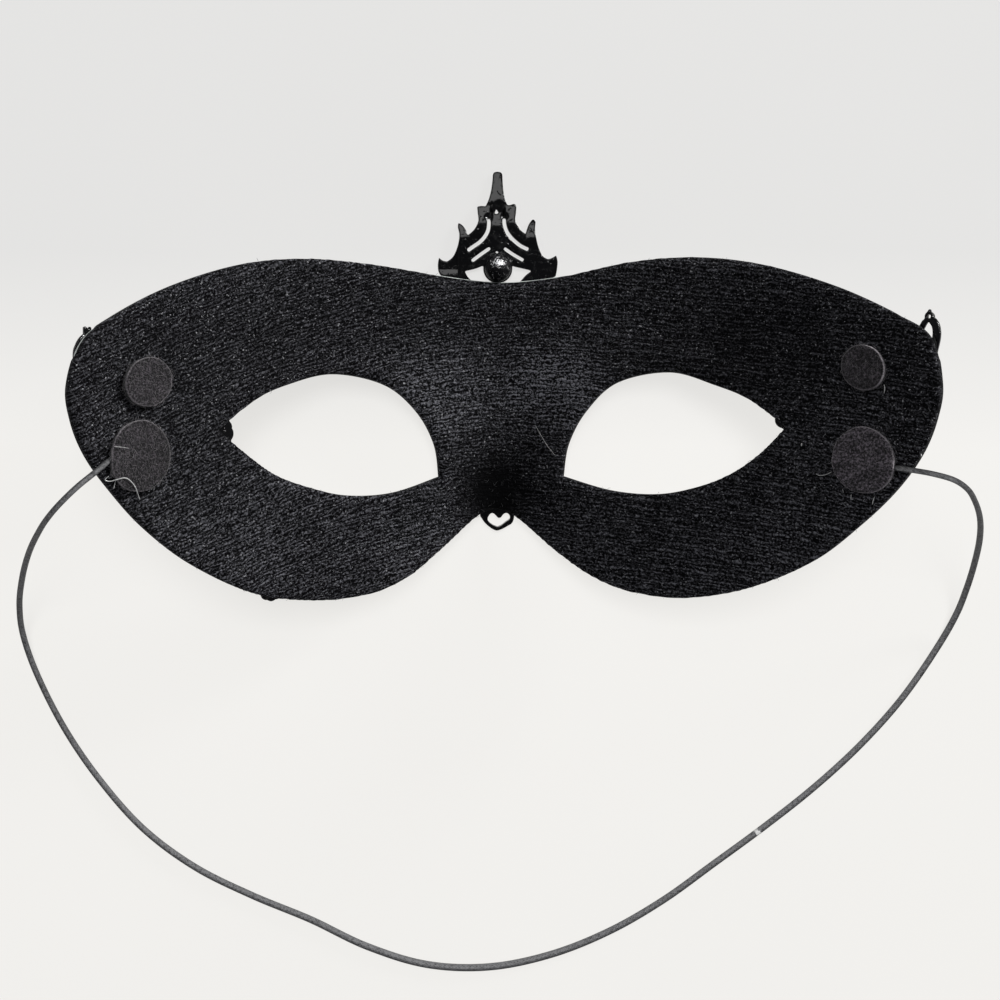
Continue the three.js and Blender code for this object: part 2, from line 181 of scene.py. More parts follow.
def sheet(loops, rings, extra=np.empty((0, 3))):
    """A closed sheet cut along loops, in flat coordinates with heights.

    rings run from the upper face's edge over the rim to the lower face's. Each is how far the
    loops are let out and their height, as one number or as a list with a value for each loop.
    extra are points inside the upper face, and the hidden lower face has fewer.
    """
    levels = []
    for ring in rings:
        level = []
        for index, loop in enumerate(loops):
            out, height = (part[index] if isinstance(part, list) else part for part in ring)
            flat = loop + outward(loop) * np.broadcast_to(out, len(loop))[:, None]
            level.append(np.column_stack([flat, np.broadcast_to(height, len(loop))]))
        levels.append(level)
    around = sum(len(loop) for loop in loops)
    points = [np.vstack(level) for level in levels]
    top = filled([part[:, :2] for part in levels[0]], extra[:, :2])
    coarse = extra[:: max(1, len(extra) // FEW_POINTS)]
    bottom = filled([part[:, :2] for part in levels[-1]], coarse[:, :2])
    last = around * (len(rings) - 1)
    below = around * len(rings) + len(extra)
    lower = np.where(bottom < around, bottom + last, bottom - around + below)
    upper = np.where(top < around, top, top - around + around * len(rings))
    faces = [upper, lower[:, ::-1]]
    start = 0
    for loop in loops:
        index = start + np.arange(len(loop))
        after = start + np.roll(np.arange(len(loop)), -1)
        for k in range(len(rings) - 1):
            high, low = k * around, (k + 1) * around
            faces.append(np.stack([high + index, low + index, low + after], axis=1))
            faces.append(np.stack([high + index, low + after, high + after], axis=1))
        start += len(loop)
    coarse = coarse.copy()
    coarse[:, 2] = levels[-1][0][0, 2]
    return np.vstack([*points, extra, coarse]), np.vstack(faces)


def clear_of(loops, u, v, margin, height):
    """The points (u, v) that keep clear of the loops, all at one height."""
    spots = np.column_stack([u.ravel(), v.ravel()])
    keep = inside(spots, loops[0] - outward(loops[0]) * margin)
    for hole in loops[1:]:
        keep &= ~inside(spots, hole - outward(hole) * margin)
    return np.column_stack([spots[keep], np.full(keep.sum(), height)])


def lattice(loops, gap_u, gap_v, margin, height):
    """Points in staggered rows that keep clear of the loops."""
    low, high = loops[0].min(0), loops[0].max(0)
    u, v = np.meshgrid(np.arange(low[0], high[0], gap_u), np.arange(low[1], high[1], gap_v))
    u[1::2] += gap_u / 2
    return clear_of(loops, u, v, margin, height)


def put(name, data):
    """A new object in the scene that shows the data."""
    item = bpy.data.objects.new(name, data)
    bpy.context.scene.collection.objects.link(item)
    return item


def piece(name, points, faces, material):
    """A smooth mesh object from points in millimetres."""
    mesh = bpy.data.meshes.new(name)
    mesh.from_pydata((np.asarray(points) * MM).tolist(), [], [list(face) for face in faces])
    mesh.shade_smooth()
    mesh.materials.append(material)
    return put(name, mesh)


class Wire:
    """A node's output, on which arithmetic adds Math nodes."""

    def __init__(self, nodes, socket):
        self.nodes, self.socket = nodes, socket

    def math(self, operation, *values):
        return self.nodes.node("ShaderNodeMath", {"operation": operation}, dict(enumerate(values)))

    def __add__(self, other):
        return self.math("ADD", self, other)

    def __sub__(self, other):
        return self.math("SUBTRACT", self, other)

    def __rsub__(self, other):
        return self.math("SUBTRACT", other, self)

    def __mul__(self, other):
        return self.math("MULTIPLY", self, other)

    def __truediv__(self, other):
        return self.math("DIVIDE", self, other)

    def __rtruediv__(self, other):
        return self.math("DIVIDE", other, self)

    def __pow__(self, other):
        return self.math("POWER", self, other)

    __radd__, __rmul__ = __add__, __mul__

    def to(self, operation, *others):
        return self.math(operation, self, *others)

    def within(self, low, high):
        return self.to("MAXIMUM", low).to("MINIMUM", high)

    def also(self, out):
        """Another output of the same node."""
        return Wire(self.nodes, self.socket.node.outputs[out])


class Nodes:
    """A node tree, with one way to add any node to it."""

    def __init__(self, tree):
        self.tree = tree

    def node(self, kind, settings=None, sockets=None, out=0):
        node = self.tree.nodes.new(kind)
        for name, value in (settings or {}).items():
            setattr(node, name, value)
        for name, value in (sockets or {}).items():
            if isinstance(value, Wire):
                self.tree.links.new(value.socket, node.inputs[name])
            else:
                node.inputs[name].default_value = value
        return Wire(self, node.outputs[out]) if node.outputs else None

    def place(self):
        """The place on the piece, in metres."""
        return self.node("ShaderNodeTexCoord", out="Object")

    def split(self, vector, *axes):
        """The asked ones of a vector's three numbers."""
        return [self.node("ShaderNodeSeparateXYZ", None, {0: vector}, out=axis) for axis in axes]

    def noise(self, place, scale, detail=2, **sockets):
        values = {"Vector": place, "Scale": scale, "Detail": detail, **sockets}
        return self.node("ShaderNodeTexNoise", None, values)

    def grain(self, place, scale, detail=2, gain=1.0):
        """Noise spread about nought, as far as gain says."""
        return (self.noise(place, scale, detail) - 0.5) * gain

    def stretched(self, place, scale):
        return self.node("ShaderNodeVectorMath", {"operation": "MULTIPLY"}, {0: place, 1: scale})

    def combined(self, *values):
        return self.node("ShaderNodeCombineXYZ", None, dict(enumerate(values)))

    def between(self, factor, first, second):
        settings = {"data_type": "RGBA", "clamp_factor": True}
        return self.node("ShaderNodeMix", settings, {0: factor, 6: first, 7: second}, out=2)

    def bump(self, height, distance, strength=1.0):
        values = {"Height": height, "Distance": distance, "Strength": strength}
        return self.node("ShaderNodeBump", None, values)


def finish(build):
    """A material; build gets its nodes and returns the values and links of its shader."""
    material = bpy.data.materials.new(build.__name__)
    material.use_nodes = True
    material.node_tree.nodes.clear()
    nodes = Nodes(material.node_tree)
    shader = nodes.node("ShaderNodeBsdfPrincipled", None, build(nodes))
    nodes.node("ShaderNodeOutputMaterial", None, {"Surface": shader})
    return material


def satin_paint(nodes):
    place = nodes.place()
    cloud = nodes.noise(place, 60)
    peel = nodes.noise(place, 2200, 3)
    return {
        "Base Color": nodes.between(cloud, (0.47, 0.51, 0.48, 1), (0.55, 0.585, 0.56, 1)),
        "Roughness": 0.36 + 0.16 * cloud,
        "Normal": nodes.bump(peel, 0.00004, 0.5),
        "Coat Weight": 0.15,
        "Coat Roughness": 0.3,
    }


def edged(curves, gap):
    """A closed loop of curves with corners between them. Each ends where the next one begins."""
    corners = [curve[0] for curve in curves[1:] + curves[:1]]
    return np.vstack([spline([*curve, end], gap)[:-1] for curve, end in zip(curves, corners)])


outline = spline(OUTLINE, OUTLINE_GAP, closed=True)[::-1]
right_eye, left_eye = edged(EYE_RIGHT, EYE_GAP), edged(EYE_LEFT, EYE_GAP)
mask_loops = [outline, right_eye, (left_eye * (-1, 1))[::-1]]


def covered(loop):
    """How far the lining wraps round the shell's edge along a loop: 0 is bare and 1 is wrapped."""
    u, v = loop.T
    share = np.clip((np.abs(u) - BARE_HALF_WIDTH) / BARE_FADE, 0, 1) + (v < 0)
    for spot_u, spot_v, radius, fade, wrapped in WORN_SPOTS:
        away = np.hypot(u - spot_u, v - spot_v) - radius
        share = np.minimum(share, np.clip(away / fade, wrapped, 1))
    return np.clip(share, 0, 1)


cover = [covered(outline), 1, 1]
shell_points, shell_faces = sheet(
    mask_loops,
    [([-WRAPPED_INSET * share - inset for share in cover], low) for inset, low in SHELL_RIM],
    lattice(mask_loops, gap_u=1.6, gap_v=1.4, margin=1.4, height=SHELL_THICKNESS),
)
shell = piece("moulded_shell", formed(shell_points), shell_faces, finish(satin_paint))
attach(shell, "root")
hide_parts("mask_shell")

# Lining
# One piece of black ribbed knit, stretched over the inside of the shell and glued down, and
# wrapped round most of its edge. The ribs run slantwise and bend at the nose.

LINING_TOP = 2.0
LINING_BACK = 0.95

# The rounded edge of the upper face: how far in, and how far below the top.
LINING_EDGE = [(2, 0), (1.3, 0.07), (0.75, 0.21), (0.4, 0.36), (0.17, 0.5), (0.05, 0.64), (0, 0.85)]
BARE_EDGE_INSET = 0.12
WRAP_DEPTH = 0.8
WRAP_END = 0.85
WRAP_TURNED_IN = 0.35
RIB_PITCH = 0.8
RIB_SLOPE = 0.145
RIB_BEND = 0.235
RIB_BEND_U = -12
RIB_BEND_WIDTH = 24
KNIT_ROW = 0.16
KNIT_STEP = 0.85
KNIT_STAGGER = 0.42
KNIT_MARGIN = 2.3

# Spots of painted light that make the knit paler, each as a middle, a width, a height and a gain,
# and a spot of painted shade above the nose notch, where it is darkest.
PAINTED_LIGHT_SPOTS = [(-14, 1, 13, 8, 1.5), (11, 2, 8, 7, 4)]
PAINTED_SHADE_SPOT = (-1.5, -19, 9, 9)


def rib_across(u, v):
    """The place across the ribs, which slope up to the left and down to the right."""
    bend = RIB_BEND * RIB_BEND_WIDTH * np.log(np.cosh((u - RIB_BEND_U) / RIB_BEND_WIDTH))
    return v - (RIB_SLOPE * u - bend)


def ribs(nodes, along, across, pitch):
    """The ribs at a place: how near a ridge it is, from 0 to 1, and how full the stitches are."""
    place = nodes.combined(along, across)
    drift = nodes.grain(nodes.stretched(place, (0.16, 0.4, 0)), 1, 2, 2.1)
    row = (across + drift) / pitch
    ridge = (row * math.tau).to("COSINE") * 0.5 + 0.5
    stitches = nodes.noise(nodes.combined(along * 0.5, row * 0.8, row.to("ROUND") * 3.7), 1, 2)
    return row, ridge, stitches


def knit_relief(nodes, geometry, size):
    """Moves the knit's upper face in and out in ribs, a stitch at a time."""
    knit = nodes.node("GeometryNodeInputNamedAttribute", {"data_type": "FLOAT_VECTOR"}, {0: "knit"})
    along, across, raised = nodes.split(knit, 0, 1, 2)
    row, ridge, stitches = ribs(nodes, along, across, size["Pitch"])
    pair = (row * math.pi).to("COSINE")
    height = (ridge - 0.5) * (stitches * 1.6 + 0.2) * size["Height"] + pair * size["Pair"]
    knots = nodes.grain(nodes.combined(along, across), 1.6, 1, size["Knot"])
    normal = nodes.node("GeometryNodeInputNormal")
    values = {0: normal, 3: (height + knots) * raised}
    offset = nodes.node("ShaderNodeVectorMath", {"operation": "SCALE"}, values)
    return nodes.node("GeometryNodeSetPosition", None, {"Geometry": geometry, "Offset": offset})


def mark(item, name, values):
    """Gives each point of a piece a number, or three, that its finish or its fibres read."""
    kind, field = ("FLOAT", "value") if values.ndim == 1 else ("FLOAT_VECTOR", "vector")
    item.data.attributes.new(name, kind, "POINT").data.foreach_set(field, values.ravel())


def grown(name, build, base, material, sizes):
    """A plain mesh from a tree of Geometry Nodes, which build draws on a base object."""
    tree = bpy.data.node_groups.new(name, "GeometryNodeTree")
    nodes = Nodes(tree)
    tree.interface.new_socket("Geometry", in_out="OUTPUT", socket_type="NodeSocketGeometry")
    named = {"Geometry": "NodeSocketGeometry", "Material": "NodeSocketMaterial"}
    for label, value in sizes.items():
        named[label] = "NodeSocketInt" if isinstance(value, int) else "NodeSocketFloat"
    sockets = {
        label: tree.interface.new_socket(label, in_out="INPUT", socket_type=kind).identifier
        for label, kind in named.items()
    }
    entry = tree.nodes.new("NodeGroupInput")
    wires = {label: Wire(nodes, entry.outputs[label]) for label in named}
    made = build(nodes, wires["Geometry"], wires)
    made = nodes.node("GeometryNodeRealizeInstances", None, {0: made})
    made = nodes.node("GeometryNodeSetMaterial", None, {0: made, "Material": wires["Material"]})
    nodes.node("NodeGroupOutput", None, {0: made})
    modifier = base.modifiers.new(name, "NODES")
    modifier.node_group = tree
    modifier[sockets["Material"]] = material
    for label, value in sizes.items():
        modifier[sockets[label]] = value
    graph = bpy.context.evaluated_depsgraph_get()
    mesh = bpy.data.meshes.new_from_object(base.evaluated_get(graph))
    base.modifiers.remove(modifier)
    return put(name, mesh)


def ribbed_knit(nodes):
    place = nodes.place()
    high = nodes.split(place, 1)[0] / MM - MIDDLE_Y
    knit = nodes.node("ShaderNodeAttribute", {"attribute_name": "knit"}, out="Vector")
    along, across, raised = nodes.split(knit, 0, 1, 2)
    row, ridge, stitches = ribs(nodes, along, across, RIB_PITCH)
    pair = (row * math.pi).to("COSINE") * (along / 30).within(0.2, 1)
    loops = nodes.grain(nodes.combined(along * 1.7, row * 2.6), 1, 1, 2.2)
    grit = nodes.grain(place, 3100, 1, 1.9)
    tone = 0.13 + ridge * 0.42 + pair * 0.08 + (stitches - 0.5) * 1.1 + loops + grit
    tone = tone.within(0, 1.6)

    def ramp(start, end):
        return ((high - start) / (end - start)).within(0, 1)

    def spot(middle_u, middle_v, wide, tall):
        apart = ((along - middle_u) / wide) ** 2 + ((high - middle_v) / tall) ** 2
        return 1 / (1 + apart * apart)

    # Painted light: the knit is made lighter towards the lower lobes, a little along the top edge and
    # in the light spots, and darker in the painted shade spot above the nose notch.
    level = 1 + ramp(5, -30) * 1.3 + ramp(16, 24) * 0.3
    for *where, gain in PAINTED_LIGHT_SPOTS:
        level = level + spot(*where) * gain
    level = level * (1 - spot(*PAINTED_SHADE_SPOT)) * (1 - nodes.grain(place, 40, 2, 1.2))
    # Painted shade on the wrapped edge of the knit, darkest at the right end and lightest at the
    # left.
    painted_rim_light = (0.35 - along * 0.004).within(0.05, 0.6)
    shade = tone * tone * level * (painted_rim_light + (1 - painted_rim_light) * raised) * 0.38
    # Bright specks: pale fibres and painted glints, fewer where the knit's painted light is low.
    speck = (nodes.noise(place, 2300, 1) - 0.67).to("MAXIMUM", 0) * 9 * level.to("MINIMUM", 1)
    dyed = nodes.between(shade, (0.001, 0.001, 0.0013, 1), (0.16, 0.16, 0.177, 1))
    return {
        "Base Color": nodes.between(speck * raised, dyed, (0.3, 0.3, 0.31, 1)),
        "Roughness": 0.95 - 0.15 * tone,
        "Normal": nodes.bump(tone, 0.0001, 0.9),
        "Sheen Weight": 0.03,
        "Sheen Roughness": 0.4,
        "Specular IOR Level": 0.06,
    }


u, row = np.meshgrid(np.arange(-88, 88, KNIT_STEP), np.arange(-62, 62, KNIT_ROW))
u[1::2] += KNIT_STAGGER
v = row + rib_across(0, 0) - rib_across(u, 0)
let_out = [-BARE_EDGE_INSET * (1 - cover[0]), 0, 0]
turned_in = [out - WRAP_TURNED_IN * share for out, share in zip(let_out, cover)]
lining_points, lining_faces = sheet(
    mask_loops,
    [
        *(([out - inset for out in let_out], LINING_TOP - drop) for inset, drop in LINING_EDGE),
        (let_out, [LINING_BACK - WRAP_DEPTH * share for share in cover]),
        ([out - 0.02 for out in turned_in], [LINING_BACK - WRAP_END * share for share in cover]),
        ([out - 0.04 for out in turned_in], LINING_BACK - 0.05),
    ],
    clear_of(mask_loops, u, v, KNIT_MARGIN, LINING_TOP),
)
base = piece("knit_base", formed(lining_points), lining_faces, bpy.data.materials.new("plain"))
flat_u, flat_v, flat_w = lining_points.T
raised = np.clip((flat_w - 0.8) / 0.5, 0, 1)
mark(base, "knit", np.column_stack([flat_u, rib_across(flat_u, flat_v), raised]))
mark(base, "fuzzy", (flat_w > 1.3).astype(np.float32))
lining = grown(
    "ribbed_lining", knit_relief, base, finish(ribbed_knit),
    {"Pitch": RIB_PITCH, "Height": 0.1 * MM, "Pair": 0.02 * MM, "Knot": 0.08 * MM},
)


def loose_fibres(nodes, geometry, size):
    """Short bent fibres lying on a surface wherever its attribute "fuzzy" is over a half."""
    fuzzy = nodes.node("GeometryNodeInputNamedAttribute", {"data_type": "FLOAT"}, {0: "fuzzy"})
    chosen = nodes.node("FunctionNodeCompare", {"operation": "GREATER_THAN"}, {0: fuzzy, 1: 0.5})
    spots = nodes.node("GeometryNodeDistributePointsOnFaces", {"distribute_method": "RANDOM"}, {
        "Mesh": geometry, "Selection": chosen, "Density": size["Density"], "Seed": size["Seed"],
    })
    length = size["Length"]
    path = nodes.node("GeometryNodeCurveQuadraticBezier", None, {
        "Resolution": 3, "Start": nodes.combined(0.0, 0.0, length * -0.05),
        "Middle": nodes.combined(length * 0.5, length * 0.25, length * 0.35),
        "End": nodes.combined(length, 0.0, length * 0.12),
    })
    ring = nodes.node("GeometryNodeCurvePrimitiveCircle", None, {"Resolution": 3, 4: size["Radius"]})
    fibre = nodes.node("GeometryNodeCurveToMesh", None, {0: path, 1: ring, "Fill Caps": True})
    turn = nodes.node("FunctionNodeRandomValue", {"data_type": "FLOAT_VECTOR"}, {
        0: (-0.25, -0.25, 0), 1: (0.25, 0.25, math.tau), "Seed": size["Seed"],
    })
    turned = nodes.node("FunctionNodeRotateRotation", {"rotation_space": "LOCAL"}, {
        0: spots.also("Rotation"), 1: nodes.node("FunctionNodeEulerToRotation", None, {0: turn}),
    })
    scale = nodes.node("FunctionNodeRandomValue", {"data_type": "FLOAT"}, {
        2: 0.5, 3: 1.5, "Seed": size["Seed"],
    }, out=1)
    return nodes.node("GeometryNodeInstanceOnPoints", None, {
        "Points": spots, "Instance": fibre, "Rotation": turned, "Scale": scale,
    })


def lint_grey(nodes):
    place = nodes.place()
    shade = nodes.noise(place, 900, 1)
    return {
        "Base Color": nodes.between(shade, (0.01, 0.01, 0.011, 1), (0.1, 0.1, 0.105, 1)),
        "Roughness": 0.7,
    }


knit_fuzz = grown(
    "knit_fuzz", loose_fibres, base, finish(lint_grey),
    {"Density": 4.5e5, "Length": 0.7 * MM, "Radius": 0.022 * MM, "Seed": 7},
)
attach(knit_fuzz, "root")
bpy.data.objects.remove(base)
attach(lining, "root")
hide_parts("lining")

# Side castings
# A pair of openwork castings in black enamelled zinc, glued to the front of the shell round the
# outer halves of the eyes: bars that taper, leaves with a groove along them, rings and berries.

# Each casting's name, its side, and how far it is glued inward and lower than the right one.
SIDES = [("side_filigree_right", 1, 0, 0), ("side_filigree_left", -1, 1.9, 2.4)]

# Bars and leaves go by their middle lines and widths, rings and berries by middle and radius.
SIDE_BARS = [
    ([(56.4, -3.4), (59.8, -9), (60.8, -16), (58.8, -23.5), (55, -30), (48.8, -34.9)], (2.9, 1.0)),
    ([(56.5, -2.2), (61.4, 3.4), (67.8, 9), (75, 12.7), (81.3, 14.3), (83.3, 16.6)], (2.8, 1.0)),
    ([(68, 9.2), (75.2, 9.4), (80.6, 6), (80, 1.6), (76.2, 1.4), (76.2, 4.2)], (1.9, 1.0)),
]
SIDE_LEAVES = [
    ([(27.5, 9.6), (30.2, 13.8), (35.8, 17)], 2.9),
    ([(35, 10.8), (38.8, 15.8), (46, 19.3)], 3.5),
    ([(43.2, 9.4), (48.6, 14.8), (56.6, 18.6)], 4.0),
    ([(50.8, 4.8), (57.6, 10.2), (63.4, 17.2)], 4.0),
    ([(61, 1.6), (66.8, 0.8), (72.6, 3.4)], 3.8),
    ([(60.2, -8.6), (67.6, -7.6), (74, -2.6)], 4.2),
    ([(59.6, -22.4), (52.4, -21.4), (45.4, -25)], 3.8),
    ([(56.2, -28.8), (48.4, -28.2), (41, -31.8)], 3.6),
]
SIDE_RINGS = [(64, -15.5, 1.9, 0.9)]
SIDE_BERRIES = [
    (24.4, 12, 1.3), (70.8, 13, 1.6), (76.6, 3.9, 1.1), (48.9, -34.7, 1.05), (47.9, -35, 1.1),
    (46.9, -34.75, 1.05),
]

# The right casting (1) and the left one (-1) differ in the bars round the eye, in the tips that
# show past the mask's edge, and in the berries at the corner of the eye.
LID_START = [(24, 12.6), (21.4, 12.2), (21.2, 9.4), (26, 9.2), (34, 10.9)]
CHEEK_END = [(80.2, 0.2), (75, -8), (68.4, -14.8), (60, -19.8)]
EYE_BARS = {
    1: [
        ([*LID_START, (43, 9.6), (50.3, 5.2), (55.8, -1.8)], (1.2, 2.5)),
        ([(84.7, 16.8), (85.3, 15.9), (85.5, 14.4), (85.1, 12.4), (83.8, 8.6), *CHEEK_END],
         (1.5, 2.0)),
        ([(84, 18.1), (84.3, 18.8)], (0.7, 0.4)),
        ([(82.4, 15.2), (83.7, 17)], (1.0, 0.9)),
    ],
    -1: [
        ([*LID_START, (43, 10.6), (51.5, 7.2), (57, -0.6)], (1.2, 1.8)),
        ([(84.5, 16.2), (85.1, 15.6), (85.6, 14.7), (85.95, 13.7), (85.8, 12), (84.2, 8.6),
          *CHEEK_END], (1.0, 2.2)),
        ([(83.9, 16.1), (84.15, 17.1), (84.35, 18)], (1.3, 0.5)),
        ([(83.6, 16.1), (83.5, 17.1), (83.3, 17.9)], (1.3, 0.5)),
    ],
}
TIP_RINGS = {1: [(84.1, 17.5, 0.85, 0.38)], -1: []}
EYE_BERRIES = {
    1: [(55.3, -2.7, 1.55)],
    -1: [(56.55, -2.7, 1.75), (56.3, -1.35, 1.2), (83.85, 16.9, 0.6)],
}
SIDE_BACK = -0.4
SIDE_THICKNESS = 1.4
RING_THICKNESS = 1.12
BAR_GAP = 0.4
LEAST_HALF_WIDTH = 0.05


def both_halves(section):
    """A whole section from the half that ends on its middle line."""
    return section + [(-share, depth) for share, depth in section[-2::-1]]


# Shares of the bar's half width and of its depth.
BAR_SECTION = both_halves([(0.85, 0), (1, 0.12), (1, 0.4), (0.85, 0.72), (0.5, 0.94), (0, 1)])
LEAF_SECTION = both_halves(
    [(0.9, 0), (1, 0.15), (1, 0.45), (0.8, 0.8), (0.5, 0.94), (0.2, 0.86), (0, 0.6)]
)


def middle_line(path, gap):
    """Evenly spaced points along a flat path, and the unit directions to its left."""
    spine = spline(path, gap)
    along = unit(np.gradient(spine, axis=0))
    return spine, np.stack([-along[:, 1], along[:, 0]], axis=1)


def skin(count, sides):
    """Faces round a stack of rings of points, with a cap at each end."""
    index = np.arange(sides)
    after = (index + 1) % sides
    faces = []
    for low in range(0, (count - 1) * sides, sides):
        high = low + sides
        faces += np.stack([low + index, low + after, high + after, high + index], axis=1).tolist()
    return [*faces, index[::-1].tolist(), ((count - 1) * sides + index).tolist()]


def strip(path, width, section):
    """A bar along a flat path, level at the back and shaped in front. width is a function."""
    spine, aside = middle_line(path, BAR_GAP)
    half_width = np.maximum(width(np.linspace(0, 1, len(spine))) / 2, LEAST_HALF_WIDTH)
    height = SIDE_THICKNESS * np.minimum(1, 0.45 + 0.6 * half_width)
    points = [
        np.column_stack([spine + share * aside * half_width[:, None], SIDE_BACK - depth * height])
        for share, depth in section
    ]
    return np.stack(points, axis=1).reshape(-1, 3), skin(len(spine), len(section))


def circle(u, v, radius, count=36):
    turn = np.arange(count) * math.tau / count
    return np.column_stack([u + radius * np.cos(turn), v + radius * np.sin(turn)])


def plate(loops, back, front_height):
    """A level plate cut along loops."""
    return sheet(loops, [(0, back), (0, front_height)])


def berry(u, v, radius):
    """A round boss, level at the back and domed in front."""
    rings = [(0, SIDE_BACK)]
    for angle in np.radians([0, 18, 36, 54, 70, 82]):
        height = SIDE_THICKNESS * (0.35 + 0.65 * math.sin(angle))
        rings.append((-radius * (1 - math.cos(angle)), SIDE_BACK - height))
    return sheet([circle(u, v, radius)], rings)


def cast(name, parts, bend, material, voxel, rounds, keep=1.0):
    """One casting from closed parts that overlap: joined, softened at the joints and bent.

    voxel is the grain of the joined mesh, rounds are of smoothing, and keep is the share of its
    faces that stays.
    """
    points, faces, start = [], [], 0
    for part_points, part_faces in parts:
        points.append(part_points)
        faces += [[start + index for index in face] for face in part_faces]
        start += len(part_points)
    mesh = bpy.data.meshes.new(name)
    mesh.from_pydata(np.vstack(points).tolist(), [], faces)
    item = put(name, mesh)
    join = item.modifiers.new("join", "REMESH")
    join.mode, join.voxel_size = "VOXEL", voxel
    soften = item.modifiers.new("soften", "SMOOTH")
    soften.factor, soften.iterations = 0.5, rounds
    thin = item.modifiers.new("thin", "DECIMATE")
    thin.ratio = keep
    graph = bpy.context.evaluated_depsgraph_get()
    mesh = bpy.data.meshes.new_from_object(item.evaluated_get(graph))
    bpy.data.objects.remove(item)
    flat = np.empty(len(mesh.vertices) * 3)
    mesh.vertices.foreach_get("co", flat)
    faces = [face.vertices for face in mesh.polygons]
    return piece(name, bend(flat.reshape(-1, 3)), faces, material)


def black_enamel(nodes):
    place = nodes.place()
    peel = nodes.noise(place, 420, 2)
    pits = (nodes.noise(place, 1300, 2) - 0.6).to("MAXIMUM", 0) * 4
    dust = (nodes.noise(place, 420, 5) - 0.6).to("MAXIMUM", 0) * 3
    return {
        "Base Color": nodes.between(dust, (0.002, 0.002, 0.0022, 1), (0.02, 0.02, 0.02, 1)),
        "Roughness": 0.14 + 0.3 * dust,
        "Normal": nodes.bump(peel * 0.3 + pits, 0.0004, 0.8),
        "Specular IOR Level": 0.3,
    }


def leaf_width(width):
    return lambda t: width * np.sin(math.pi * (0.2 + 0.8 * t))


def bar_width(first, last):
    return lambda t: first + (last - first) * t


def placed(flat, side, inward, lower):
    """Flat points moved to where their casting is glued, and mirrored on the left side."""
    return (np.array(flat, float) - (inward, lower)) * (side, 1)


enamel = finish(black_enamel)
for name, *where in SIDES:
    side = where[0]
    parts = [
        strip(placed(path, *where), bar_width(*widths), BAR_SECTION)
        for path, widths in SIDE_BARS + EYE_BARS[side]
    ]
    parts += [
        strip(placed(path, *where), leaf_width(width), LEAF_SECTION) for path, width in SIDE_LEAVES
    ]
    for u, v, outer, inner in SIDE_RINGS + TIP_RINGS[side]:
        middle = placed((u, v), *where)
        ring = [circle(*middle, outer), circle(*middle, inner)[::-1]]
        parts.append(plate(ring, SIDE_BACK, SIDE_BACK - RING_THICKNESS))
    for u, v, radius in SIDE_BERRIES + EYE_BERRIES[side]:
        middle = placed((u, v), *where)
        parts.append(berry(*middle, radius))
    casting = cast(name + "_casting", parts, formed, enamel, voxel=0.17, rounds=3, keep=0.7)
    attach(casting, "root")
    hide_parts(name)

# Centre casting
# The middle casting, in the same enamelled zinc: a crest of spikes over the top of the mask, a
# plate down the forehead and over the nose, and a heart-shaped loop below the nose notch.

CASTING_X = MIDDLE_X - 0.54
CASTING_THICKNESS = 1.6
CREST_EDGES = [
    [(0, 45.86), (0.58, 45.76), (0.91, 45.37), (0.96, 44.43), (1.04, 43.2), (1.17, 41.97),
     (1.45, 40.48), (1.83, 39.49)],
    [(2.16, 39.2), (2.71, 39.35), (3.2, 39.5), (3.6, 39.4)],
    [(3.78, 38.88), (3.68, 37.52), (3.53, 36.27), (3.99, 35.28), (4.62, 34.29)],
    [(5.67, 33.49), (5.97, 34.54), (6.39, 35.54)],
    [(6.97, 36.33), (7.33, 36.43)],
    [(7.71, 35.91), (7.59, 34.29), (7.91, 32.3), (8.45, 30.43), (9.22, 29.05)],
    [(10.24, 28.48), (11.13, 28.76)],
    [(11.89, 29.26), (12.2, 28.06), (12.11, 26.55)],
    [(11.84, 25.04), (10.4, 24.2), (8.8, 22.9), (6.4, 20.2), (5, 16.5), (3.9, 11), (3, 4),
     (2.7, -4), (3, -12), (3.5, -18), (3.7, -22), (3.45, -24.74), (3, -25.86), (2.09, -26.44),
     (1.04, -27.03)],
    [(-0.06, -27.42), (-0.78, -27.19), (-1.56, -26.69), (-2.6, -25.76), (-3.4, -24.6),
     (-3.64, -23.78), (-3.5, -18), (-3, -12), (-2.7, -4), (-3, 4), (-3.9, 11), (-5, 16.5),
     (-6.4, 20.2), (-8.8, 22.9), (-10.4, 24.3)],
    [(-11.68, 25.25), (-12.08, 26.12), (-12.15, 27.5)],
    [(-11.92, 28.75), (-11.21, 28.18)],
    [(-10.27, 27.96), (-9.13, 28.88), (-8.37, 30.38), (-7.91, 32.01), (-7.78, 33.5),
     (-8.05, 34.74)],
    [(-8, 35.69), (-7.52, 35.49), (-6.94, 35), (-6.39, 34.13)],
    [(-6.14, 33.18), (-5, 34.13), (-4.24, 35.25), (-3.91, 36.25), (-4.01, 37.49)],
    [(-4.16, 38.93), (-3.3, 39.08)],
    [(-2.47, 38.98), (-2.16, 39.6), (-1.71, 40.72), (-1.33, 42.2), (-1.13, 43.44), (-1, 44.67),
     (-0.93, 45.46), (-0.53, 45.81)],
]
KITE_HOLE = [
    [(0, 28.3), (1.6, 27.8), (3.1, 27.05), (5.03, 26.58)],
    [(6.97, 26.14), (5.8, 25.3), (4.66, 24.02), (2.6, 21.6)],
    [(0, 19.4), (-2.6, 21.6), (-4.7, 23.6), (-5.5, 24.26), (-6.2, 25.1)],
    [(-6.71, 26.01), (-4.75, 26.46), (-3.23, 27.02), (-1.6, 27.8)],
]
HEART_HOLE = [
    [(0.33, -24.75), (0.72, -24.62), (1.17, -24), (1.82, -23.65), (2.41, -24.01), (2.63, -24.6),
     (2.47, -25.06), (1.69, -25.59), (0.91, -26.24)],
    [(0.07, -26.63), (-0.78, -26.3), (-1.56, -25.77), (-1.98, -25.24), (-2.02, -24.71),
     (-1.63, -23.99), (-1.04, -23.66), (-0.39, -24.13), (0.06, -24.66)],
]
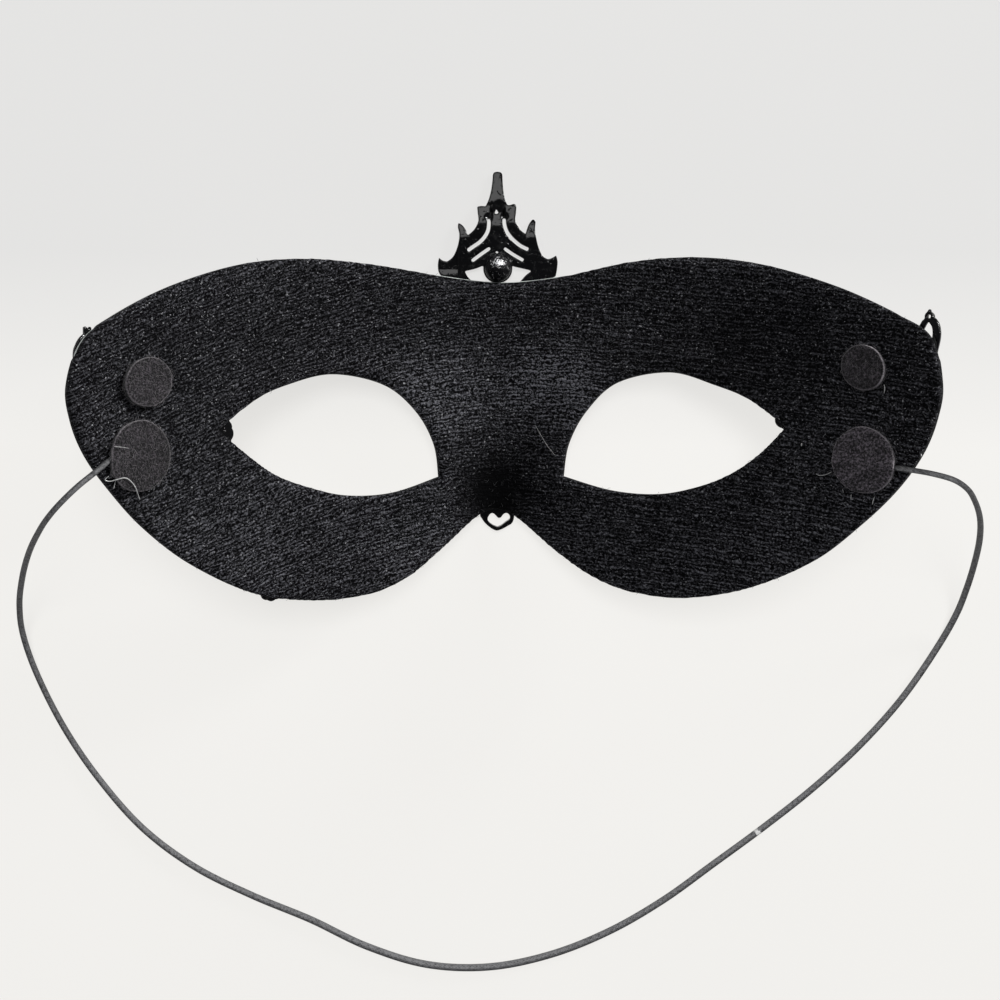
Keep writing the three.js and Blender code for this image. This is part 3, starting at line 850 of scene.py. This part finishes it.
SLOTS = [
    ([(-1.92, 36.5), (-1.78, 35.76), (-1.96, 34.26), (-2.59, 33.02), (-3.61, 31.89), (-4.87, 31.02),
      (-6.09, 30.16)], 0.72),
    ([(1.33, 36.64), (1.35, 35.52), (1.76, 34.15), (2.6, 32.91), (3.62, 31.91), (4.81, 31.04),
      (6.24, 30.4)], 0.72),
    ([(-1.53, 30.7), (-3.35, 29.47), (-5.23, 28.07)], 0.66),
    ([(1.31, 30.66), (2.99, 29.49), (5.23, 28.22)], 0.66),
]
SMALL_HOLES = [
    [(-0.32, 38.54), (0.3, 37.6), (-0.68, 37.45)],
    [(-0.24, 30.23), (0.43, 29.58), (-0.56, 29.63)],
]

# Each hole of the hidden plate: its middle, height and width.
PLATE_HOLES = [(15.5, 6, 2.66), (8, 6.4, 1.68), (-0.5, 6.5, 1.47), (-9, 6.5, 1.54), (-17, 6, 1.82)]

# Each dimple beside a small hole: its middle, radius and depth.
DIMPLES = [(-1.96, 36.87, 0.5, 0.4), (1.45, 37.06, 0.55, 0.45), (0.2, 39.2, 0.7, 0.3)]
CREST_GAP = 0.25
SMALL_GAP = 0.2

# The folds across the crest's back: how high each is, how steeply the back sinks above it, and
# over what height.
SPIKE_FOLD = (39.6, 0.165, 6.5)
SHOULDER_FOLD = (35.7, 0.2, 3.9)
NECK_FOLD = (35.1, 0.2, 2.8)
HORN_FOLD = (32.9, 0.25, 6)
WING_FOLD = (25.2, 0.2, 1.2)
FOLD_SOFTNESS = 0.25
MOST_THINNED = 1.1
BEAD_V = 26.55
CUP_RADIUS = 2.95
CUP_WALL = 0.45
CUP_HEIGHT = 2.3
CUP_FLOOR = 0.9
CUP_OVERLAP = 0.2
CUP_SIDES = 64


def slot_loop(path, width):
    """The rounded outline of a slot along a path, clockwise, with its first end narrower."""
    spine, aside = middle_line(path, CREST_GAP)
    half_width = np.full((len(spine), 1), width / 2)
    half_width[0] *= 0.6
    return np.vstack([spine + aside * half_width, (spine - aside * half_width)[::-1]])


def clockwise(loop):
    x, y = loop.T
    return loop[::-1] if np.sum(x * np.roll(y, -1) - y * np.roll(x, -1)) > 0 else loop


def facets(flat):
    """Thins the spikes and shoulders towards their tips and sinks the dimples, on the back."""
    u, v, w = flat.T
    back = np.clip((w - 0.9) / 0.5, 0, 1)

    def slope(foot, steepness, reach):
        """A depth that grows upward from a soft fold, as far as its reach."""
        rise = np.logaddexp(0, (v - foot) / FOLD_SOFTNESS) * FOLD_SOFTNESS
        return steepness * np.minimum(rise, reach)

    beside = np.abs(u)
    drop = slope(*SPIKE_FOLD)
    drop += slope(*SHOULDER_FOLD) * np.clip((beside - 0.9) / 0.6, 0, 1) * (v < SPIKE_FOLD[0])
    drop += slope(*NECK_FOLD) * (beside < 1.5) * np.clip(38.9 - v, 0, 1)
    drop += slope(*HORN_FOLD) * (beside > 5.6)
    drop += slope(*WING_FOLD) * (u < -8)
    for dimple_u, dimple_v, radius, depth in DIMPLES:
        distance = np.hypot(u - dimple_u, v - dimple_v) / radius
        drop = drop + depth * np.exp(-distance ** 2)
    thinned = flat + (CASTING_X, MIDDLE_Y, 0)
    thinned[:, 2] = w - np.minimum(drop, MOST_THINNED) * back
    return thinned


holes = [edged(KITE_HOLE, CREST_GAP), edged(HEART_HOLE, CREST_GAP)]
holes += [slot_loop(path, width) for path, width in SLOTS]
holes += [edged([[corner] for corner in corners], SMALL_GAP) for corners in SMALL_HOLES]
holes += [
    slot_loop([(0, middle - height / 2), (0, middle), (0, middle + height / 2)], width)
    for middle, height, width in PLATE_HOLES
]
loops = [clockwise(edged(CREST_EDGES, CREST_GAP))[::-1], *(clockwise(hole) for hole in holes)]
cup_outside, cup_inside, cup_floor = (
    circle(0, BEAD_V, radius, count=CUP_SIDES)
    for radius in (CUP_RADIUS, CUP_RADIUS - CUP_WALL, CUP_RADIUS - CUP_OVERLAP)
)
parts = [
    plate(loops, CASTING_THICKNESS, 0.0),
    plate([cup_outside, cup_inside[::-1]], CUP_HEIGHT, CUP_OVERLAP),
    plate([cup_floor], CUP_FLOOR, 0.0),
]
centre_casting = cast("centre_casting", parts, facets, enamel, voxel=0.14, rounds=7)
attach(centre_casting, "root")
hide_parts("centre_filigree")

# Bead
# A round black bead, glossy and crackled with silver like old glass, the silver gathered in a
# painted highlight on its upper part. It is glued in the cup of the centre casting, on a small
# flat under it.

BEAD_RADIUS = 2.66
BEAD_MIDDLE = 2.78
BEAD_FOOT = 1.0


def crackled_glass(nodes):
    place = nodes.place()
    flakes = nodes.noise(place, 1500, 4, Distortion=1.5)
    fine = nodes.noise(place, 4200, 2)
    aside, high = nodes.split(place, 0, 1)
    aside = (aside / MM - CASTING_X) / BEAD_RADIUS
    high = (high / MM - MIDDLE_Y - BEAD_V) / BEAD_RADIUS
    # A painted highlight: the silver flecks gather on the bead's upper part, which also gets a coat
    # there.
    painted_highlight_patch = (1 - (aside * aside * 2.2 + (high - 0.42) ** 2 * 5)).to("MAXIMUM", 0)
    silver_and_highlight = ((flakes + painted_highlight_patch * 0.2 - 0.62) * 9).within(0, 1)
    return {
        "Base Color": nodes.between(silver_and_highlight, (0.003, 0.003, 0.0035, 1), (0.9, 0.9, 0.9, 1)),
        "Metallic": silver_and_highlight * 0.8,
        "Roughness": 0.25 + 0.3 * fine,
        "Normal": nodes.bump(flakes * 0.8 + fine * 0.2, 0.0003, 0.8),
        "Coat Weight": 0.5 * painted_highlight_patch,
        "Coat Roughness": 0.1,
        "Specular IOR Level": 0.12,
    }


dome = bmesh.new()
bmesh.ops.create_icosphere(dome, subdivisions=5, radius=BEAD_RADIUS)
for vertex in dome.verts:
    vertex.co.z = max(vertex.co.z, BEAD_FOOT - BEAD_MIDDLE)
    vertex.co += Vector((CASTING_X, MIDDLE_Y + BEAD_V, BEAD_MIDDLE))
    vertex.co *= MM
mesh = bpy.data.meshes.new("round_bead")
dome.to_mesh(mesh)
dome.free()
mesh.shade_smooth()
mesh.materials.append(finish(crackled_glass))
bead = put("round_bead", mesh)
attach(bead, "root")
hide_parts("crest_bead")

# Elastic cord
# One length of round black braided elastic. Both ends are glued under the large felt discs; from
# there it goes over the rim, down to the floor and round in a wide loop.

CORD_DIAMETER = 1.4
CORD_SIDES = 16
CORD_GAP = 0.45

# Its share of the full thickness along its length, thinner where it is pulled tight.
CORD_PULL = [
    (0, 0.74), (0.03, 0.74), (0.07, 0.8), (0.12, 0.84), (0.2, 0.88), (0.32, 0.98), (0.5, 1.1),
    (0.65, 1), (0.82, 0.98), (0.9, 0.9), (0.94, 0.76), (1, 0.7),
]
NICK_PLACE = 266.5
CORD_ROUTE = [
    (-72.2, -11.85, 39.05), (-74, -13.55, 41.6), (-76.7, -15.85, 43.7), (-80, -18.95, 43.4),
    (-83, -21.95, 40.6), (-86.1, -25.35, 35.6), (-90.3, -30.45, 27.2), (-94.4, -36.95, 18),
    (-97.6, -44.25, 9.8), (-98.9, -51.55, 3.9), (-97.4, -60.25, 1.1), (-92, -72.7, 0.85),
    (-84.8, -84.4, 0.85), (-76.2, -95, 0.85), (-65.6, -103.6, 0.85), (-53.7, -110.1, 0.85),
    (-41.2, -115.8, 0.85), (-29.2, -122.1, 0.85), (-16.2, -126.5, 0.85), (-2.7, -127.3, 0.85),
    (10.7, -124.7, 0.85), (23.4, -119.6, 0.85), (35.1, -112.7, 0.85), (46.1, -104.5, 0.85),
    (56.9, -96.3, 0.85), (67.5, -87.6, 0.85), (77.3, -78.2, 0.85), (86.1, -67.8, 0.85),
    (93.4, -56.25, 1.1), (95.9, -48.85, 3.9), (96, -42.25, 8.9), (94.8, -35.55, 15.8),
    (92.7, -29.35, 23.4), (89.9, -24.35, 30.4), (86.5, -20.25, 36.6), (83.1, -17.15, 41.4),
    (79.6, -15.15, 43.9), (76.1, -14.15, 43.6), (73.1, -13.75, 41.1), (70.7, -13.55, 38.7),
]

# The ends under the large discs. The first point only gives each end its direction.
TUCKED = {
    "left": ((-82.5, -10.25, 3.2), (-79.5, -8.6, 2.8), (-77.8, -7.7, 2.65), (-76.2, -7, 2.6)),
    "right": ((82.1, -10.4, 2.9), (78.75, -10.25, 2.8), (77, -10.15, 2.65), (75.2, -10.1, 2.6)),
}
TUCKED_GAP = 0.4
TUCKED_RADII = (0.5, 0.45)


def tube(path, radii, sides):
    """Points and faces of a round tube along a path, closed at both ends."""
    rings = []
    turns = np.arange(sides) * math.tau / sides
    for point, direction, radius in zip(path, unit(np.gradient(path, axis=0)), radii):
        side = unit(np.cross(direction, (0, 0, 1)))
        up = np.cross(side, direction)
        rings.append(point + radius * (np.outer(np.cos(turns), side) + np.outer(np.sin(turns), up)))
    # These rings turn the other way from a bar's, so their faces are turned over.
    faces = [[first, *reversed(others)] for first, *others in skin(len(path), sides)]
    return np.vstack(rings), faces


def braided_elastic(nodes):
    braid = nodes.node("ShaderNodeAttribute", {"attribute_name": "braid"}, out="Vector")
    along, around = nodes.split(braid, 0, 1)
    left = (along * 9 + around * 8).to("SINE")
    right = (along * 9 - around * 8).to("SINE")
    weave = left.to("MAXIMUM", right) * 0.5 + 0.5
    place = nodes.place()
    dust = nodes.noise(place, 1500, 3)
    tone = weave * 0.4 + nodes.grain(place, 1900, 2, 1.6) + 0.3
    ragged = nodes.grain(place, 1300, 2, 1.6)
    nick = (1 - ((along - NICK_PLACE).to("ABSOLUTE") - 0.35 + ragged) * 3).within(0, 1)
    # Painted light and shade: the cord is made lighter on the inner side of its loop and darker on
    # its outer side.
    tone = tone * (1 - 0.8 * around.to("COSINE"))
    black = nodes.between(tone, (0.004, 0.004, 0.0045, 1), (0.08, 0.08, 0.082, 1))
    return {
        "Base Color": nodes.between(nick, black, (0.3, 0.3, 0.295, 1)),
        "Roughness": 0.42 + 0.15 * dust,
        "Normal": nodes.bump(weave + dust, 0.00003, 0.5),
        "Specular IOR Level": 0.08,
    }


def elastic(name, path, radii):
    """A stretch of the elastic along a path, with the places in its braid."""
    points, faces = tube(path, radii, CORD_SIDES)
    item = piece(name, points, faces, braid_finish)
    lengths = np.r_[0, np.cumsum(np.linalg.norm(np.diff(path, axis=0), axis=1))]
    turns = np.tile(np.arange(CORD_SIDES) * math.tau / CORD_SIDES, len(path))
    mark(item, "braid", np.column_stack([np.repeat(lengths, CORD_SIDES), turns, turns * 0]))
    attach(item, "root")
    return item


braid_finish = finish(braided_elastic)
cord_path = spline(CORD_ROUTE, CORD_GAP, power=0.5)
pulled = np.interp(np.linspace(0, 1, len(cord_path)), *zip(*CORD_PULL))
cord = elastic("elastic_cord_braid", cord_path, CORD_DIAMETER / 2 * pulled)
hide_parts("elastic_cord")
for side, tucked in TUCKED.items():
    tail = spline(formed(tucked), TUCKED_GAP)
    tail = tail[np.abs(tail - formed(tucked[1:2])).sum(axis=1).argmin():]
    elastic("cord_tail_" + side, tail, np.linspace(*TUCKED_RADII, len(tail)))

# Felt discs
# Four round pads punched from grey felt. The large ones are glued down over the cord's ends, and
# the small ones sit above them.

# Each disc's name, middle, width and height, how high its top is, the painted light or shade
# on its top and on its side, how much paler its rim's painted highlight is where the light falls
# on it, and which end is tucked under it.
FELT_DISCS = [
    ("felt_disc_small_left", -71.7, 4.8, 9.4, 8.9, 3.8, 1.0, 0.05, 0, None),
    ("felt_disc_small_right", 72.6, 7.4, 8.6, 8.5, 3.4, 1.1, 3, 2.2, None),
    ("felt_disc_large_left", -73.1, -8.2, 12, 12.6, 3.3, 0.95, 0.3, 0, "left"),
    ("felt_disc_large_right", 72.3, -9.4, 12.4, 12, 3.3, 3.3, 1, 0.4, "right"),
]

# A disc's edge: how far out with the drop from its top, and then how far out with the height.
DISC_RIM = [(-0.5, 0), (-0.2, 0.03), (-0.04, 0.15), (0.02, 0.38), (0.02, 0.5)]
DISC_FOOT = [(0, 2.4), (-0.1, 2.15)]

# Which rows of the edge's points, counted from the top, are the rim with its painted highlight
# and which the side with its painted light or shade.
RIM_ROWS = (2, 3)
SIDE_ROWS = (4, 5, 6)
DISC_POINTS = 120
RIM_PAINTED_HIGHLIGHT = 0.42
LIT_TURN = 0.35
CORD_BULGE = 0.42
BULGE_WIDTH = 1.1


def grey_felt(nodes):
    place = nodes.place()
    felt = nodes.node("ShaderNodeAttribute", {"attribute_name": "felt"}, out="Vector")
    # The attribute felt carries the rim's painted highlight and the painted light or shade of each
    # top and side.
    painted_rim_light, level = nodes.split(felt, 0, 1)
    clump = nodes.grain(place, 420, 3, 0.7)
    hair = nodes.grain(place, 2700, 2, 2.2)
    crossing = nodes.grain(nodes.stretched(place, (900, 3000, 1500)), 1, 2, 1.1)
    tone = (0.42 + clump + hair + crossing).within(0, 1.5)
    shade = tone * tone * level * 0.4
    body = nodes.between(shade, (0.005, 0.0047, 0.005, 1), (0.2, 0.174, 0.2, 1))
    # The rim's painted highlight, broken up by the felt's grain.
    edge = painted_rim_light * (0.6 + clump * 2 + hair * 0.5)
    return {
        "Base Color": nodes.between(edge, body, (0.62, 0.57, 0.6, 1)),
        "Roughness": 0.95,
        "Normal": nodes.bump(tone + hair, 0.00014, 0.8),
        "Sheen Weight": 0.2,
        "Sheen Roughness": 0.5,
        "Specular IOR Level": 0.2,
    }


def felt_grey_lint(nodes):
    place = nodes.place()
    shade = nodes.noise(place, 700, 1)
    return {
        "Base Color": nodes.between(shade, (0.03, 0.028, 0.03, 1), (0.3, 0.28, 0.29, 1)),
        "Roughness": 0.8,
    }


def lifted(points, tucked):
    """Raises a disc where the cord's end is tucked under it."""
    if not tucked:
        return points
    start, end = np.array(TUCKED[tucked])[[1, 3], :2]
    share = np.clip((points[:, :2] - start) @ (end - start) / np.sum((end - start) ** 2), 0, 1)
    away = np.linalg.norm(points[:, :2] - start - share[:, None] * (end - start), axis=1)
    lift = CORD_BULGE * np.exp(-(away / BULGE_WIDTH) ** 2) * (1 - 0.7 * share)
    return points + np.outer(lift, (0, 0, 1))


felt = finish(grey_felt)
felt_points, felt_faces, felt_count = [], [], 0
turn = np.arange(DISC_POINTS) * math.tau / DISC_POINTS
for name, u, v, width, height, top, level, side_painted_light, paler, tucked in FELT_DISCS:
    ragged = 1 + 0.008 * np.sin(3 * turn + u) + 0.006 * np.sin(7 * turn + v)
    ragged += 0.004 * np.sin(23 * turn) * np.cos(5 * turn)
    loop = np.column_stack([np.cos(turn) * width / 2, np.sin(turn) * height / 2])
    loop = loop * ragged[:, None] + (u, v)
    rings = [(out, top - drop) for out, drop in DISC_RIM] + DISC_FOOT
    inner = lattice([loop], gap_u=0.35, gap_v=0.3, margin=0.8, height=top)
    points, faces = sheet([loop], rings, inner)
    points = formed(lifted(points, tucked))
    disc = piece(name + "_pad", points, faces, felt)
    row, around = np.divmod(np.arange(len(points)), DISC_POINTS)
    # Each rim gets a painted highlight, paler still on its lit side, and each top and side its
    # painted light or shade.
    lit = np.maximum(0, np.cos(around * math.tau / DISC_POINTS - LIT_TURN))
    painted_rim_light = np.isin(row, RIM_ROWS) * RIM_PAINTED_HIGHLIGHT * (1 + paler * lit)
    painted_lightness = level * np.where(np.isin(row, SIDE_ROWS), side_painted_light, 1)
    mark(disc, "felt", np.column_stack([painted_rim_light, painted_lightness, painted_rim_light * 0]))
    felt_points.append(points)
    felt_faces += [[felt_count + index for index in face] for face in faces]
    felt_count += len(points)
    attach(disc, "root")
    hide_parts(name)

base = piece("felt_base", np.vstack(felt_points), felt_faces, felt)
mark(base, "fuzzy", np.ones(felt_count, np.float32))
felt_fuzz = grown(
    "felt_fuzz", loose_fibres, base, finish(felt_grey_lint),
    {"Density": 2.2e6, "Length": 0.9 * MM, "Radius": 0.016 * MM, "Seed": 3},
)
bpy.data.objects.remove(base)
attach(felt_fuzz, "root")

# Glue threads
# Fine pale strings and crumbs of dried glue, drawn out as the discs were set down. They cling to
# the lining round the discs and beside the nose, and to the rims of the large discs.

THREAD_GAP = 0.15
THREAD_SIDES = 8

# Each thread's places, with heights, and its radius.
GLUE_THREADS = [
    ([(-79.3, -11.2, 2.6), (-79.7, -11.5, 2.4), (-79.9, -11.9, 2.3), (-78.9, -12.1, 2.6),
      (-77.8, -11.8, 3.4), (-76.7, -11.7, 3.7), (-75.7, -12.2, 3.7), (-74.7, -13.3, 3.6),
      (-73.9, -14.6, 3.1), (-73.2, -15.9, 2.6)], 0.1),
    ([(-78.2, -13.5, 2.3), (-78, -12.8, 2.3), (-77.9, -12.1, 2.4)], 0.07),
    ([(-78.6, -6.1, 3.3), (-77.5, -6.25, 3.38), (-75.7, -6.6, 3.38)], 0.05),
    ([(62.75, -12.5, 2.3), (63.5, -12.75, 2.3), (64.7, -12.5, 2.3), (65.9, -11.9, 2.4)], 0.05),
    ([(69.7, -16.7, 2.3), (69.8, -15.8, 2.4)], 0.07),
    ([(68.2, -15.6, 2.3), (68.1, -15, 2.4)], 0.05),
    ([(74, -17.3, 2.3), (74.2, -16.6, 2.5), (74.4, -15.9, 2.4)], 0.08),
    ([(76.35, 4.5, 2.3), (76.5, 3.8, 2.4), (76.3, 2.9, 2.3)], 0.09),
    ([(83.3, -7.45, 2.2), (83.4, -7.85, 2.2)], 0.12),
    ([(59.84, -6.95, 2.2), (59.8, -7.5, 2.2)], 0.12),
    ([(7.6, -5.1, 2.2), (8.6, -6.7, 2.3), (10, -9, 2.3), (11.6, -11, 2.2)], 0.03),
]


def set_glue(nodes):
    place = nodes.place()
    cloud = nodes.noise(place, 900, 2)
    return {
        "Base Color": nodes.between(cloud, (0.36, 0.36, 0.35, 1), (0.68, 0.68, 0.67, 1)),
        "Roughness": 0.3 + 0.2 * cloud,
        "Coat Weight": 0.3,
    }


glue = finish(set_glue)
for number, (path, radius) in enumerate(GLUE_THREADS, 1):
    line = spline(formed(path), THREAD_GAP)
    taper = radius * (0.55 + 0.45 * np.sin(np.linspace(0.25, 2.9, len(line))))
    thread = piece("glue_thread_%d" % number, *tube(line, taper, THREAD_SIDES), glue)
    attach(thread, "root")

# Studio
# A plain pale floor, a soft light low on the right, a dim card above, a wash of light that falls
# on the floor and the cord alone, and the camera looking almost straight down.

FLOOR_HALF = 1500
FLOOR_GLOW = 0.765
LENS, SENSOR = 52.2, 36
CAMERA_PLACE = (-0.01255, 0.0175, 0.2996)
CAMERA_TURNS = [("Y", -0.0405), ("X", math.radians(-8)), ("Z", 0.0013)]


def pale_floor(nodes):
    place = nodes.place()
    cloud = nodes.noise(place, 14, 4)
    # The floor's glow is painted light, and it fades towards the back.
    far = (nodes.split(place, 1)[0] + 0.009) * 25 + cloud * 0.2
    return {
        "Base Color": nodes.between(cloud, (0.05, 0.05, 0.049, 1), (0.058, 0.058, 0.057, 1)),
        "Roughness": 0.9,
        "Emission Color": nodes.between(far, (1, 0.985, 0.955, 1), (0.84, 0.835, 0.825, 1)),
        "Emission Strength": FLOOR_GLOW,
        "Specular IOR Level": 0.2,
    }


corners = np.array([(-1, -1, 0), (1, -1, 0), (1, 1, 0), (-1, 1, 0)]) * FLOOR_HALF
floor = piece("floor", corners, [(0, 1, 2, 3)], finish(pale_floor))

world = bpy.data.worlds.new("room")
world.use_nodes = True
world.node_tree.nodes.clear()
room = Nodes(world.node_tree)
height = room.split(room.node("ShaderNodeTexCoord", out="Generated"), 2)[0]
shade = room.between(height, (0.28, 0.285, 0.3, 1), (0.1, 0.103, 0.115, 1))
sky = room.node("ShaderNodeBackground", None, {"Color": shade, "Strength": 1.0})
room.node("ShaderNodeOutputWorld", None, {"Surface": sky})
bpy.context.scene.world = world


def lamp(name, place, size, power):
    """A square lamp, in metres and watts, that shines on the middle of the mask."""
    light = bpy.data.lights.new(name, "AREA")
    light.size, light.energy = size, power
    item = put(name, light)
    item.location = place
    item.rotation_euler = (-Vector(place)).to_track_quat("-Z", "Y").to_euler()
    return item


lamp("key_light", (0.85, 0.63, 0.33), size=0.2, power=13)
lamp("upper_card", (0, 0.42, 0.7), size=0.38, power=1.6)
floor_wash = lamp("floor_wash", (0, 0.4, 1.15), size=0.4, power=25)
washed = bpy.data.collections.new("washed")
washed.objects.link(floor)
washed.objects.link(cord)
floor_wash.light_linking.receiver_collection = washed

lens = bpy.data.cameras.new("camera")
lens.lens, lens.sensor_width = LENS, SENSOR
lens.clip_start = 0.01
camera = put("camera", lens)
camera.matrix_world = Matrix.Translation(CAMERA_PLACE)
for axis, angle in CAMERA_TURNS:
    camera.matrix_world = camera.matrix_world @ Matrix.Rotation(angle, 4, axis)
bpy.context.scene.camera = camera
bpy.context.scene.view_settings.view_transform = "Standard"
